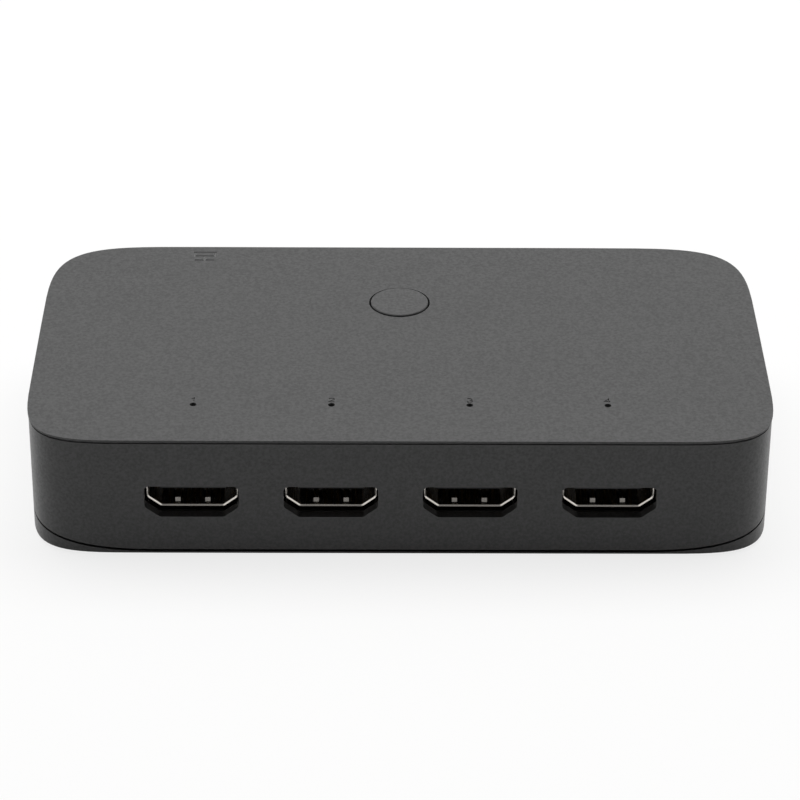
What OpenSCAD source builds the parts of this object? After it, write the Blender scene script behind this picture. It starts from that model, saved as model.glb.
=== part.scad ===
// Four-input switch box for one screen, keyboard and mouse. Front is -Y, up is +Z, millimetres.
// The origin lies under the middle of the case, on the plane that the feet stand on.

/* [Case] */
// Width of the case across its top panel
case_w = 120; // [118:1:150]
// Depth of the case across its top panel
case_d = 65.5; // [64:0.5:90]
// Height of the case from its underside to its top face
case_h = 21.1; // [19:0.1:30]
// Length over which each front corner curves in plan
front_extent = 21.5; // [14:0.5:28]
// Length over which each back corner curves in plan
back_extent = 28; // [14:0.5:29]
// Power of the superellipse that each corner follows
corner_power = 4.7; // [3:0.1:6]
// Thickness of the side walls
wall = 1.8; // [1.4:0.1:2.4]
// Thickness of the base's floor
floor_t = 1.8; // [1.4:0.1:2.4]
// Play between parts of the case that slot together
case_fit = 0.1; // [0.05:0.01:0.2]

/* [Top panel] */
// Thickness of the top panel
panel_t = 1.6; // [1.3:0.1:2.4]
// Thickness of the thin lip round the panel
lip_t = 0.3; // [0.2:0.05:0.6]
// Width of that lip
lip_w = 1.2; // [1:0.1:1.6]
// How far the lip stands out past the walls
overhang = 0.1; // [0.05:0.05:0.5]
// Height of the shadow gap under the lip
shadow_gap = 0.4; // [0.2:0.05:0.6]
// How far the ledge that carries the panel reaches in from the walls
ledge_w = 2.2; // [1.5:0.1:3]
// Thickness of that ledge
ledge_t = 1.5; // [1:0.1:2]

/* [Parting line] */
// Height of the base's rim along the middle of the front and back
rim_h = 0.3; // [0.25:0.05:1]
// Height of the open line between the base and the walls
rim_gap = 0.4; // [0.2:0.05:0.5]
// Half-length of the level run before the rim sweeps up to the sides
rim_level = 40; // [30:1:44]
// Radius of that upward sweep
rim_sweep = 66; // [56:1:160]
// Height of the base's locating lip above its floor
locate_h = 2.3; // [1:0.1:2.5]
// Thickness of that lip
locate_t = 1; // [0.8:0.1:1.4]

/* [Circuit board] */
// Thickness of the board
board_t = 1.6; // [1:0.1:2]
// Room between the board's edge and the inside of the walls
board_room = 1; // [0.6:0.1:2]
// Room round each pin that passes through the board
pin_room = 0.25; // [0.1:0.05:0.4]

/* [Video sockets] */
// Distance between the video inputs
video_pitch = 22.2; // [18:0.1:23.5]
// Height of the video sockets' centre line above the underside
video_z = 9.7; // [8.8:0.1:10.4]
// Depth of the video sockets' mouths behind the wall's face
video_recess = 2.8; // [2:0.1:3.4]
// Sideways place of the video output in the back wall
video_out_x = -33.3; // [-35:0.1:-30]
// Inside width of a video socket's mouth
mouth_w = 14; // [13.5:0.1:14.5]
// Inside height of the mouth
mouth_h = 4.55; // [4.4:0.05:4.8]
// Inside width of the mouth's narrow lower side
mouth_floor_w = 9.9; // [9.4:0.1:10.4]
// Height of the mouth's upright sides
mouth_side_h = 2.975; // [2.6:0.025:3.2]
// Length of a video socket's shell
video_len = 10.5; // [9.5:0.1:11]
// Height of a video socket's centre line above the board
video_rise = 3.3; // [3:0.05:3.6]

/* [Keyboard and mouse sockets] */
// Sideways place of the keyboard socket
keyboard_x = -17; // [-18:0.1:-16.5]
// Distance from the keyboard socket to the mouse socket
device_pitch = 15; // [14.4:0.1:15.4]
// Inside width of the socket
device_w = 12.5; // [12:0.1:12.8]
// Inside height of the socket
device_h = 5.12; // [4.9:0.02:5.4]
// Length of the socket's shell
device_len = 12; // [10.5:0.1:12.5]
// Height of the socket's centre line above the board
device_rise = 3.4; // [3.2:0.05:3.8]

/* [Computer sockets] */
// Sideways place of the first computer socket
host_x = 11.5; // [11:0.1:12]
// Distance between the computer sockets
host_pitch = 11; // [10:0.1:11.2]
// Distance from the case's side to the middle of the last computer socket
host_in = 15.5; // [15.4:0.1:18]
// Inside width of the socket
host_w = 8.34; // [8:0.02:8.6]
// Inside height of the socket
host_h = 2.56; // [2.4:0.02:2.8]
// Length of the socket's shell
host_len = 7.3; // [6.5:0.1:8]
// Depth of the keyboard, mouse and computer sockets behind the wall's face
data_recess = 0.8; // [0.4:0.1:1.6]

/* [Socket shells] */
// Thickness of the sheet metal
sheet = 0.3; // [0.2:0.05:0.4]
// Room between a shell and its cut-out in the wall
cut_room = 0.25; // [0.15:0.05:0.4]
// Width of a contact finger pressed out of a shell
finger_w = 0.85; // [0.7:0.05:1.6]
// Length of that finger
finger_len = 4.2; // [3:0.1:4.6]
// Distance of the fingers from the socket's middle
finger_x = 2.4; // [2:0.1:3]
// Height of the bump near the tip of a video socket's finger
finger_bump = 0.6; // [0.3:0.05:0.8]
// Angle by which that bump's front leans back from upright
finger_rake = 30; // [20:1:45]
// Width of the slot round a finger
finger_slot = 0.35; // [0.25:0.05:0.5]
// How far a video socket's mouth flares open at its front edge
lead_in = 0.24; // [0.1:0.02:0.26]
// Depth over which that mouth flares
lead_len = 0.14; // [0.1:0.02:0.3]
// Length of the tabs that go through the board
tab_len = 1.4; // [1:0.1:1.8]

/* [Push button] */
// Diameter of the button's cap
button_d = 9.7; // [8:0.1:12]
// Gap round the cap
button_gap = 0.3; // [0.2:0.05:0.5]
// Distance from the back edge to the button's centre
button_back = 19.95; // [19.5:0.05:24]
// Height of the cap above the panel
button_proud = 0.2; // [0:0.05:0.6]
// How far the button travels
button_travel = 0.35; // [0.2:0.05:0.5]
// Length of the guide collar under the panel
collar_h = 2.2; // [1.5:0.1:2.6]

/* [Indicator lights] */
// Distance from the front edge to the light holes
light_front = 11.3; // [9:0.1:13]
// Diameter of a light hole
light_d = 1.1; // [0.7:0.05:1.6]
// Thickness of a light guide
guide_t = 2; // [1.6:0.1:2.6]

/* [Feet and screws] */
// Diameter of a foot
foot_d = 8.4; // [6:0.1:9]
// Height of a foot below the case
foot_proud = 0.6; // [0.4:0.1:1.5]
// Depth of the pocket that holds a foot
foot_sink = 0.6; // [0.3:0.1:1]
// Distance from the case's sides to the middle of a foot
foot_in_x = 10; // [9:0.1:12]
// Distance from the case's front and back to the middle of a foot
foot_in_y = 7.75; // [7.4:0.05:8]
// Distance from the case's sides to a screw
screw_in_x = 11; // [10.6:0.1:13]
// Distance from the case's front and back to a screw
screw_in_y = 15.25; // [15:0.05:17]
// Diameter of a screw
screw_d = 2; // [1.6:0.1:2.4]
// Length of screw that bites into its post
screw_bite = 5; // [4:0.1:6]

/* [Hidden] */
video_inputs = 4;
hosts = 4;
corner_steps = 20;
sweep_steps = 12;
fillet_steps = 5;
eps = 0.02;

base_z = foot_proud;
top_z = base_z + case_h;
panel_z = top_z - panel_t;
wall_top_z = top_z - lip_t - shadow_gap;
face_y = case_d / 2 - overhang;
board_top = base_z + video_z - video_rise;
board_z = board_top - board_t;
floor_top = base_z + floor_t;
board_inset = overhang + wall + board_room;

mouth_slope = atan2(mouth_h - mouth_side_h, (mouth_w - mouth_floor_w) / 2);
mouth_fillet = 0.4;
insulator_fit = 0.05;
rear_t = 1.5;
tab_proud = 0.6;
contact_foot = 0.7;
contact_set = 0.6;
finger_set = 0.6;
finger_fillet = 0.1;
tab_at = [0.25, 0.8];
host_tab_at = [0.5, 0.9];
// Depths of a shell's two pairs of tabs behind the wall's face.
video_tabs = [for (at = tab_at) video_recess + at * video_len];
device_tabs = [for (at = tab_at) data_recess + at * device_len];
host_tabs = [for (at = host_tab_at) data_recess + at * host_len];
video_tongue_w = 10.6;
video_tongue_t = 1.5;
video_tongue_z = 0.45;
video_tongue_set = 1.5;
video_contact_w = 0.35;
video_contact_t = 0.15;
video_contact_pitch = 1;
video_tongue_root = video_len - 2.5;
device_tongue_w = 11;
device_tongue_t = 1.84;
device_tongue_gap = 0.65;
device_bump_room = 0.1;
device_bump = device_tongue_gap - device_bump_room;
device_tongue_set = 0.7;
device_tongue_z = device_h / 2 - device_tongue_gap - device_tongue_t / 2;
device_tongue_root = device_len - 3;
device_contact_w = 1;
device_contact_t = 0.25;
device_contact_x = [-3.5, -1, 1, 3.5];
host_tongue_w = 6.69;
host_tongue_t = 0.7;
host_tongue_set = 0.6;
host_tongue_root = host_len - 2;
host_rise = host_h / 2 + sheet + eps;
host_contact_w = 0.25;
host_contact_t = 0.1;
host_contacts = 12;
host_contact_pitch = 0.5;
host_row_gap = 0.2;
tongue_chamfer = 0.25;
device_fillet = 0.4;

button_y = case_d / 2 - button_back;
collar_t = 1.6;
collar_z = panel_z - collar_h;
button_wall = 1.2;
flange_w = 1.3;
flange_t = 1;
flange_z = collar_z - case_fit - flange_t;
stem_d = 4;
rib_t = 1.2;
touch_gap = 0.05;
switch_w = 6;
switch_h = 3.5;
switch_floor = 1;
plunger_d = 3.5;
plunger_fit = 0.05;
plunger_h = 5;
plunger_top = board_top + plunger_h;
plunger_z = board_top + switch_floor + button_travel + touch_gap;
cover_t = 0.25;
plunger_room = 1;

light_y = -case_d / 2 + light_front;
lamp_w = 1.6;
lamp_d = 0.8;
lamp_h = 0.7;
lamp_gap = 0.2;
light_sunk = 0.8;
video_rear = video_recess + video_len + rear_t + contact_foot;
lamp_room = 0.6;
lamp_y = -face_y + video_rear + guide_t / 2 + lamp_room;
guide_drop = 1.2;

video_chip_at = [-14, 0];
hub_chip_at = [22, 4];
control_chip_at = [6, -4];
crystal_at = [22, -6];
capacitor_at = [38, 4];
small_parts_at = [-28, -8];
video_chip_size = [14, 14, 1.2];
hub_chip_size = [9, 9, 0.9];
control_chip_size = [7, 7, 0.9];
crystal_size = [11, 4.6, 3.5];
capacitor_d = 6.3;
capacitor_h = 5.4;
capacitor_foot = 0.8;
small_part_size = [2, 1.25, 0.9];
small_part_step = 4;

post_d = 6;
post_rib = 1.6;
boss_d = 7;
head_d = 3.8;
head_t = 1.3;
head_room = 0.3;
head_deep = 0.5;
head_sink = head_t + head_deep;
screw_x = case_w / 2 - screw_in_x;
screw_y = case_d / 2 - screw_in_y;
screw_len = board_top - base_z - head_sink + screw_bite;
foot_x = case_w / 2 - foot_in_x;
foot_y = case_d / 2 - foot_in_y;
foot_chamfer = 0.3;

anthracite = "#4b4b4c";
socket_black = "#17181a";
nickel = "#d3ccbf";
gold = "#c9a24a";

// Places along the back wall and on the board spread with the case, so that the last computer socket
// keeps its distance from the side.
spread = case_w / 2 / (host_x + (hosts - 1) * host_pitch + host_in);
out_x = spread * video_out_x;
device_x = [spread * keyboard_x, spread * (keyboard_x + device_pitch)];
function video_in_x(i) = (i - (video_inputs - 1) / 2) * video_pitch;
function host_at(i) = spread * (host_x + i * host_pitch);
function on_board(at) = [spread * at[0], at[1], board_top];

socket_pieces = ["shell", "insulator", "contacts"];

// Corner i of four, counted round the case from the front left.
function corner_sign(i) = [[-1, -1], [1, -1], [1, 1], [-1, 1]][i];

// Rectangle whose front and back corners follow a superellipse over the given extents.
function squircle(w, d, front, back) = [
    for (q = [0:3], i = [0:corner_steps])
        let (
            extent = q < 2 ? back : front,
            a = 90 * i / corner_steps,
            c = extent * pow(cos(a), 2 / corner_power),
            s = extent * pow(sin(a), 2 / corner_power),
            x = w / 2 - extent + (q % 2 == 0 ? c : s),
            y = d / 2 - extent + (q % 2 == 0 ? s : c)
        )
        [(q == 1 || q == 2 ? -x : x), (q < 2 ? y : -y)]
];

// Corner b of a path a, b, c turned into an arc of radius r.
function arc_corner(a, b, c, r) =
    let (
        u = (a - b) / norm(a - b),
        v = (c - b) / norm(c - b),
        half = acos(u * v) / 2,
        centre = b + (u + v) / norm(u + v) * r / sin(half),
        from = b + u * r / tan(half) - centre,
        to = b + v * r / tan(half) - centre,
        start = atan2(from[1], from[0]),
        turn = (atan2(to[1], to[0]) - start + 540) % 360 - 180
    )
    [for (i = [0:fillet_steps]) let (a = start + turn * i / fillet_steps) centre + r * [cos(a), sin(a)]];

function filleted(p, r) = [
    let (n = len(p))
    for (i = [0:n - 1]) each arc_corner(p[(i + n - 1) % n], p[i], p[(i + 1) % n], r)
];

// Video socket's mouth, wide side up, grown outwards by g.
function mouth(g) =
    let (
        w = mouth_w / 2 + g,
        h = mouth_h / 2 + g,
        shoulder = mouth_h / 2 - mouth_side_h - g * (1 - sin(mouth_slope)) / cos(mouth_slope),
        floor_w = mouth_floor_w / 2 + g * (1 - cos(mouth_slope)) / sin(mouth_slope)
    )
    filleted(
        [[-w, h], [-w, shoulder], [-floor_w, -h], [floor_w, -h], [w, shoulder], [w, h]],
        mouth_fillet + max(g, 0)
    );

// Rectangle with round corners, grown outwards by g.
function box_mouth(w, h, r, g) =
    let (x = w / 2 + g, y = h / 2 + g)
    filleted([[-x, -y], [x, -y], [x, y], [-x, y]], r + g);
function device_mouth(g) = box_mouth(device_w, device_h, device_fillet, g);
function host_mouth(g) = box_mouth(host_w, host_h, host_h / 2 - eps, g);

module plan(inset) {
    polygon(squircle(case_w - 2 * inset, case_d - 2 * inset, front_extent - inset, back_extent - inset));
}

module slab(inset, z0, z1) {
    translate([0, 0, z0]) linear_extrude(z1 - z0) plan(inset);
}

// Extrudes an outline drawn in X and Z from y0 to y1.
module along_y(y0, y1) {
    translate([0, y1, 0]) rotate([90, 0, 0]) linear_extrude(y1 - y0) children();
}

// Extrudes an outline drawn in Y and Z by w, centred on X.
module across_x(w) {
    translate([-w / 2, 0, 0]) rotate([90, 0, 90]) linear_extrude(w) children();
}

module at_front(x) {
    translate([x, -face_y, board_top + video_rise]) children();
}

module at_back(x, rise) {
    translate([x, face_y, board_top + rise]) rotate([0, 0, 180]) children();
}

module at_corners(x, y) {
    for (i = [0:3]) translate([corner_sign(i)[0] * x, corner_sign(i)[1] * y, 0]) children();
}

// Everything below the parting line raised by lift: level in the middle, swept up to the sides.
module below_rim(lift) {
    reach = case_w / 2 + 1 - rim_level;
    step = reach / sweep_steps;
    side = [for (i = [0:sweep_steps]) [rim_level + i * step, pow(i * step, 2) / (2 * rim_sweep)]];
    along = concat([for (i = [sweep_steps:-1:0]) [-side[i][0], side[i][1]]], side);
    translate([0, 0, base_z + rim_h + lift])
        along_y(-case_d, case_d)
            polygon(concat(along, [[rim_level + reach, -case_h], [-rim_level - reach, -case_h]]));
}

module socket_cuts() {
    depth = wall + ledge_w;
    grow = sheet + cut_room;
    for (i = [0:video_inputs - 1]) at_front(video_in_x(i)) along_y(-1, depth) polygon(mouth(grow));
    at_back(out_x, video_rise) along_y(-1, depth) polygon(mouth(grow));
    for (x = device_x) at_back(x, device_rise) along_y(-1, depth) polygon(device_mouth(grow));
    for (i = [0:hosts - 1]) at_back(host_at(i), host_rise) along_y(-1, depth) polygon(host_mouth(grow));
}

// Flat panel with a thin lip that hides the joint, the button's guide collar and the light holes.
module top_panel() {
    color(anthracite) difference() {
        union() {
            slab(0, top_z - lip_t, top_z);
            slab(lip_w, panel_z, top_z);
            translate([0, button_y, collar_z])
                cylinder(d = button_d + 2 * (button_gap + collar_t), h = collar_h + eps, $fn = 64);
        }
        translate([0, button_y, collar_z - 1])
            cylinder(d = button_d + 2 * button_gap, h = collar_h + panel_t + 2, $fn = 64);
        for (i = [0:video_inputs - 1])
            translate([video_in_x(i), light_y, panel_z - 1]) cylinder(d = light_d, h = panel_t + 2, $fn = 32);
    }
}

// Ring of walls with a ledge for the panel, four posts for the screws and a window for each socket.
module housing() {
    color(anthracite) difference() {
        union() {
            difference() {
                slab(overhang, base_z, wall_top_z);
                slab(overhang + wall, base_z - 1, panel_z - ledge_t);
                slab(overhang + wall + ledge_w, base_z - 1, top_z);
                slab(lip_w - case_fit, panel_z, top_z);
                below_rim(rim_gap);
            }
            at_corners(screw_x, screw_y) translate([0, 0, board_top])
                cylinder(d = post_d, h = panel_z - board_top, $fn = 48);
            for (i = [0:3]) mirror([corner_sign(i)[0] < 0 ? 1 : 0, 0, 0])
                translate([screw_x, corner_sign(i)[1] * screw_y - post_rib / 2, board_top + board_room])
                    cube([screw_in_x - overhang - wall / 2, post_rib, panel_z - board_top - board_room]);
        }
        at_corners(screw_x, screw_y) translate([0, 0, board_top - 1])
            cylinder(d = screw_d + case_fit, h = screw_bite + 2, $fn = 32);
        socket_cuts();
    }
}

// Base with a floor, a rim that sweeps up at the sides, a locating lip, screw bosses and foot pockets.
module base_cover() {
    inside = overhang + wall;
    color(anthracite) difference() {
        union() {
            difference() {
                intersection() {
                    slab(overhang, base_z, base_z + case_h / 2);
                    below_rim(0);
                }
                slab(inside, floor_top, top_z);
            }
            difference() {
                slab(inside + case_fit, base_z, floor_top + locate_h);
                slab(inside + case_fit + locate_t, floor_top, top_z);
            }
            at_corners(screw_x, screw_y) translate([0, 0, base_z])
                cylinder(d = boss_d, h = board_z - base_z, $fn = 48);
        }
        at_corners(screw_x, screw_y) {
            translate([0, 0, base_z - 1])
                cylinder(d = screw_d + 2 * pin_room, h = board_z - base_z + 2, $fn = 32);
            translate([0, 0, base_z - 1]) cylinder(d = head_d + 2 * head_room, h = head_sink + 1, $fn = 48);
        }
        at_corners(foot_x, foot_y) translate([0, 0, base_z - 1])
            cylinder(d = foot_d + 2 * case_fit, h = foot_sink + 1, $fn = 48);
    }
}

module tab_slots(half_w, places) {
    slot = [sheet + 2 * pin_room, tab_len + 2 * pin_room, case_h];
    for (side = [-1, 1], y = places)
        translate([side * (half_w + sheet / 2) - slot[0] / 2, y - slot[1] / 2, -case_h]) cube(slot);
}

module circuit_board() {
    color("#17191a") difference() {
        slab(board_inset, board_z, board_top);
        at_corners(screw_x, screw_y) translate([0, 0, board_z - 1])
            cylinder(d = screw_d + 2 * pin_room, h = board_t + 2, $fn = 32);
        for (i = [0:video_inputs - 1])
            at_front(video_in_x(i)) tab_slots(mouth_w / 2, video_tabs);
        at_back(out_x, video_rise) tab_slots(mouth_w / 2, video_tabs);
        for (x = device_x)
            at_back(x, device_rise) tab_slots(device_w / 2, device_tabs);
        for (i = [0:hosts - 1])
            at_back(host_at(i), host_rise) tab_slots(host_w / 2, host_tabs);
    }
}

// Tabs that drop from a shell's upright sides through the board.
module shell_tabs(half_w, places, rise) {
    drop = rise + board_t + tab_proud;
    for (side = [-1, 1], y = places)
        translate([side * (half_w + sheet / 2) - sheet / 2, y - tab_len / 2, -drop])
            cube([sheet, tab_len, drop]);
}

// Slots round the two fingers in a shell's floor.
module finger_cuts(floor_z, front) {
    width = finger_w + 2 * finger_slot;
    for (side = [-1, 1])
        translate([side * finger_x - width / 2, front, floor_z - 2 * sheet])
            cube([width, finger_len, 3 * sheet]);
}

// Fingers in those slots: strips that are free at the front, where they are pressed up into a bump.
module fingers(floor_z, front, bump) {
    ramp = bump * tan(finger_rake);
    root = finger_len - finger_slot + sheet;
    strip = [
        [0, -sheet], [root, -sheet], [root, 0], [ramp + 2 * bump, 0],
        [ramp + bump, bump], [ramp, bump], [0, 0]
    ];
    for (side = [-1, 1]) translate([side * finger_x, front + finger_slot, floor_z])
        across_x(finger_w) polygon(filleted(strip, finger_fillet));
}

// Funnel that opens a video socket's mouth towards its front edge.
module mouth_funnel() {
    front = [for (p = mouth(1.5 * lead_in)) [p[0], video_recess - lead_len / 2, p[1]]];
    back = [for (p = mouth(-lead_in / 2)) [p[0], video_recess + 1.5 * lead_len, p[1]]];
    n = len(front);
    polyhedron(
        concat(front, back),
        concat(
            [[for (i = [n - 1:-1:0]) i], [for (i = [0:n - 1]) n + i]],
            [for (i = [0:n - 1]) [i, (i + 1) % n, n + (i + 1) % n, n + i]]
        )
    );
}

module video_shell() {
    front = video_recess + finger_set;
    color(nickel) union() {
        difference() {
            along_y(video_recess, video_recess + video_len) difference() {
                polygon(mouth(sheet));
                polygon(mouth(0));
            }
            for (flip = [0, 1]) mirror([0, 0, flip]) finger_cuts(-mouth_h / 2, front);
            mouth_funnel();
        }
        for (flip = [0, 1]) mirror([0, 0, flip]) fingers(-mouth_h / 2, front, finger_bump);
        shell_tabs(mouth_w / 2, video_tabs, video_rise);
    }
}

// Tongue that carries the contacts, with its front edges chamfered.
module tongue(w, t, z, y0, y1) {
    c = tongue_chamfer;
    across_x(w) translate([0, z - t / 2])
        polygon([[y0 + c, 0], [y1, 0], [y1, t], [y0 + c, t], [y0, t - c], [y0, c]]);
}

// Slot through which one row of contacts passes back out of the insulator.
module row_slot(w, t, level, y0, y1) {
    translate([-w / 2, y0, level]) cube([w, y1 - y0, t]);
}

// Bent strip: along the tongue, down behind the insulator and out along the board.
module contact(w, t, tip_y, bend_y, level, drop) {
    across_x(w) union() {
        translate([tip_y, level]) square([bend_y + t - tip_y, t]);
        translate([bend_y, -drop]) square([t, level + drop + t]);
        translate([bend_y, -drop]) square([contact_foot, t]);
    }
}

module video_insulator() {
    root = video_recess + video_tongue_root;
    back = video_recess + video_len;
    half = video_tongue_t / 2;
    room = video_contact_t + insulator_fit;
    color(socket_black) difference() {
        union() {
            tongue(video_tongue_w, video_tongue_t, video_tongue_z, video_recess + video_tongue_set, back);
            along_y(root, back) polygon(mouth(-insulator_fit));
            translate([-mouth_w / 2, back, -video_rise]) cube([mouth_w, rear_t, video_rise + mouth_h / 2]);
        }
        row_slot(video_tongue_w, room, video_tongue_z + half, root - eps, back + rear_t + eps);
        row_slot(video_tongue_w, room, video_tongue_z - half - room, root - eps, back + rear_t + eps);
    }
}

// Ten contacts above the tongue and nine below it, half a step apart.
module video_contacts() {
    tip = video_recess + video_tongue_set + contact_set;
    bend = video_recess + video_len + rear_t;
    above = video_tongue_z + video_tongue_t / 2;
    below = video_tongue_z - video_tongue_t / 2 - video_contact_t;
    upper = 10;
    lower = 9;
    color(gold) {
        for (i = [0:upper - 1]) translate([(i - (upper - 1) / 2) * video_contact_pitch, 0, 0])
            contact(video_contact_w, video_contact_t, tip, bend, above, video_rise);
        for (i = [0:lower - 1]) translate([(i - (lower - 1) / 2) * video_contact_pitch, 0, 0])
            contact(video_contact_w, video_contact_t, tip, bend, below, video_rise);
    }
}

module device_shell() {
    front = data_recess + 2 * finger_set;
    color(nickel) union() {
        difference() {
            along_y(data_recess, data_recess + device_len) difference() {
                polygon(device_mouth(sheet));
                polygon(device_mouth(0));
            }
            for (flip = [0, 1]) mirror([0, 0, flip]) finger_cuts(-device_h / 2, front);
        }
        for (flip = [0, 1]) mirror([0, 0, flip]) fingers(-device_h / 2, front, device_bump);
        shell_tabs(device_w / 2, device_tabs, device_rise);
    }
}

module device_insulator() {
    root = data_recess + device_tongue_root;
    back = data_recess + device_len;
    room = device_contact_t + insulator_fit;
    under = device_tongue_z - device_tongue_t / 2;
    color(socket_black) difference() {
        union() {
            tongue(device_tongue_w, device_tongue_t, device_tongue_z, data_recess + device_tongue_set, back);
            along_y(root, back) polygon(device_mouth(-insulator_fit));
            translate([-device_w / 2, back, -device_rise])
                cube([device_w, rear_t, device_rise + device_h / 2]);
        }
        row_slot(device_tongue_w, room, under - room, root - eps, back + rear_t + eps);
    }
}

module device_contacts() {
    tip = data_recess + device_tongue_set + contact_set;
    bend = data_recess + device_len + rear_t;
    level = device_tongue_z - device_tongue_t / 2 - device_contact_t;
    color(gold) for (x = device_contact_x) translate([x, 0, 0])
        contact(device_contact_w, device_contact_t, tip, bend, level, device_rise);
}

module host_shell() {
    color(nickel) union() {
        along_y(data_recess, data_recess + host_len) difference() {
            polygon(host_mouth(sheet));
            polygon(host_mouth(0));
        }
        shell_tabs(host_w / 2, host_tabs, host_rise);
    }
}

module host_insulator() {
    root = data_recess + host_tongue_root;
    back = data_recess + host_len;
    half = host_tongue_t / 2;
    room = host_contact_t + insulator_fit;
    color(socket_black) difference() {
        union() {
            tongue(host_tongue_w, host_tongue_t, 0, data_recess + host_tongue_set, back);
            along_y(root, back) polygon(host_mouth(-insulator_fit));
            translate([-host_w / 2, back, -host_rise]) cube([host_w, rear_t, host_rise + host_h / 2]);
        }
        row_slot(host_tongue_w, room, half, root - eps, back + rear_t + eps);
        row_slot(host_tongue_w, room, -half - room, root - eps, back + rear_t + eps);
    }
}

// Two rows: the upper one bends down behind the lower one's feet.
module host_contact_rows() {
    tip = data_recess + host_tongue_set + contact_set;
    bend = data_recess + host_len + rear_t;
    half = host_tongue_t / 2;
    middle = (host_contacts - 1) / 2;
    color(gold) for (i = [0:host_contacts - 1]) translate([(i - middle) * host_contact_pitch, 0, 0]) {
        contact(host_contact_w, host_contact_t, tip, bend, -half - host_contact_t, host_rise);
        contact(host_contact_w, host_contact_t, tip, bend + contact_foot + host_row_gap, half, host_rise);
    }
}

// Cap with a hollow underside, a flange that stops it under the collar and a ribbed stem.
module push_button() {
    cap_r = button_d / 2;
    hollow_r = cap_r - button_wall;
    flange_r = cap_r + flange_w;
    cap_top = top_z + button_proud;
    hollow_z = cap_top - button_wall;
    stem_z = plunger_top + touch_gap;
    edge = 0.15;
    color(anthracite) translate([0, button_y, 0]) union() {
        rotate_extrude($fn = 64) polygon([
            [0, hollow_z], [hollow_r, hollow_z], [hollow_r, flange_z],
            [flange_r, flange_z], [flange_r, flange_z + flange_t], [cap_r, flange_z + flange_t],
            [cap_r, cap_top - edge], [cap_r - edge, cap_top], [0, cap_top]
        ]);
        translate([0, 0, stem_z]) cylinder(d = stem_d, h = hollow_z - stem_z + eps, $fn = 48);
        for (turn = [0, 90]) rotate([0, 0, turn]) translate([-cap_r + button_wall / 2, -rib_t / 2, flange_z])
            cube([2 * cap_r - button_wall, rib_t, hollow_z - flange_z + eps]);
    }
}

// Moulded body of the small switch under the button, bored for its plunger.
module select_switch() {
    color(socket_black) translate([0, button_y, board_top]) difference() {
        translate([-switch_w / 2, -switch_w / 2, 0]) cube([switch_w, switch_w, switch_h]);
        translate([0, 0, switch_floor]) cylinder(d = plunger_d + 2 * plunger_fit, h = switch_h, $fn = 48);
    }
}

// Pressed cover over the switch, with two legs a side bent out along the board.
module switch_cover() {
    leg_w = 0.8;
    leg_y = switch_w / 2 - leg_w;
    leg_foot = 1;
    outer = switch_w / 2 + cover_t;
    color(nickel) translate([0, button_y, board_top]) difference() {
        union() {
            translate([-outer, -switch_w / 2, switch_h]) cube([2 * outer, switch_w, cover_t]);
            for (side = [0, 1], y = [-leg_y, leg_y - leg_w])
                mirror([side, 0, 0]) translate([switch_w / 2, y, 0]) union() {
                    cube([cover_t, leg_w, switch_h + cover_t]);
                    cube([cover_t + leg_foot, leg_w, cover_t]);
                }
        }
        translate([0, 0, switch_h - 1]) cylinder(d = plunger_d + plunger_room, h = 2, $fn = 48);
    }
}

module switch_plunger() {
    color("#2b2c2e") translate([0, button_y, plunger_z])
        cylinder(d = plunger_d, h = plunger_top - plunger_z, $fn = 48);
}

// Clear guide that carries light from a lamp behind the socket up and forward to its hole.
module light_guide() {
    r = guide_t / 2;
    arm_top = panel_z - guide_drop;
    arm_z = arm_top - guide_t;
    lamp_top = board_top + lamp_h + lamp_gap;
    color("#dfe6e8", 0.6) union() {
        across_x(guide_t) polygon([
            [light_y - r, panel_z], [light_y - r, arm_z + r], [light_y, arm_z],
            [lamp_y - r, arm_z], [lamp_y - r, lamp_top], [lamp_y + r, lamp_top],
            [lamp_y + r, arm_top - r], [lamp_y, arm_top], [light_y + r, arm_top], [light_y + r, panel_z]
        ]);
        translate([0, light_y, panel_z - eps])
            cylinder(d = light_d - case_fit, h = panel_t - light_sunk + eps, $fn = 32);
    }
}

module lamp() {
    draft = 0.1;
    color("#f2efe2") translate([0, lamp_y, board_top])
        across_x(lamp_w) polygon([
            [-lamp_d / 2, 0], [lamp_d / 2, 0], [lamp_d / 2, lamp_h / 2], [lamp_d / 2 - draft, lamp_h],
            [draft - lamp_d / 2, lamp_h], [-lamp_d / 2, lamp_h / 2]
        ]);
}

// Flat chip package with a round mark in one corner.
module chip(at, size) {
    mark_in = 1.2;
    mark_d = 0.9;
    mark_deep = 0.1;
    color("#1b1c1e") translate(on_board(at)) difference() {
        translate([-size[0] / 2, -size[1] / 2, 0]) cube(size);
        translate([mark_in - size[0] / 2, size[1] / 2 - mark_in, size[2] - mark_deep])
            cylinder(d = mark_d, h = 1, $fn = 24);
    }
}

// Metal can of the clock crystal, with round ends.
module crystal() {
    w = crystal_size[0];
    d = crystal_size[1];
    color(nickel) translate(on_board(crystal_at))
        linear_extrude(crystal_size[2]) polygon(box_mouth(w, d, d / 2 - eps, 0));
}

module filter_capacitor() {
    color("#9a9c9e") translate(on_board(capacitor_at)) union() {
        translate([-capacitor_d / 2, -capacitor_d / 2, 0]) cube([capacitor_d, capacitor_d, capacitor_foot]);
        cylinder(d = capacitor_d, h = capacitor_h, $fn = 48);
    }
}

// Two columns of small ceramic capacitors beside the video chip.
module board_capacitors() {
    color("#8a7458") translate(on_board(small_parts_at))
        for (column = [0, 1], row = [0:2])
            translate([-column * small_part_step, row * small_part_step, 0]) cube(small_part_size);
}

module foot() {
    r = foot_d / 2;
    h = foot_proud + foot_sink;
    color("#222324") rotate_extrude($fn = 48)
        polygon([[0, 0], [r - foot_chamfer, 0], [r, foot_chamfer], [r, h], [0, h]]);
}

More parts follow.
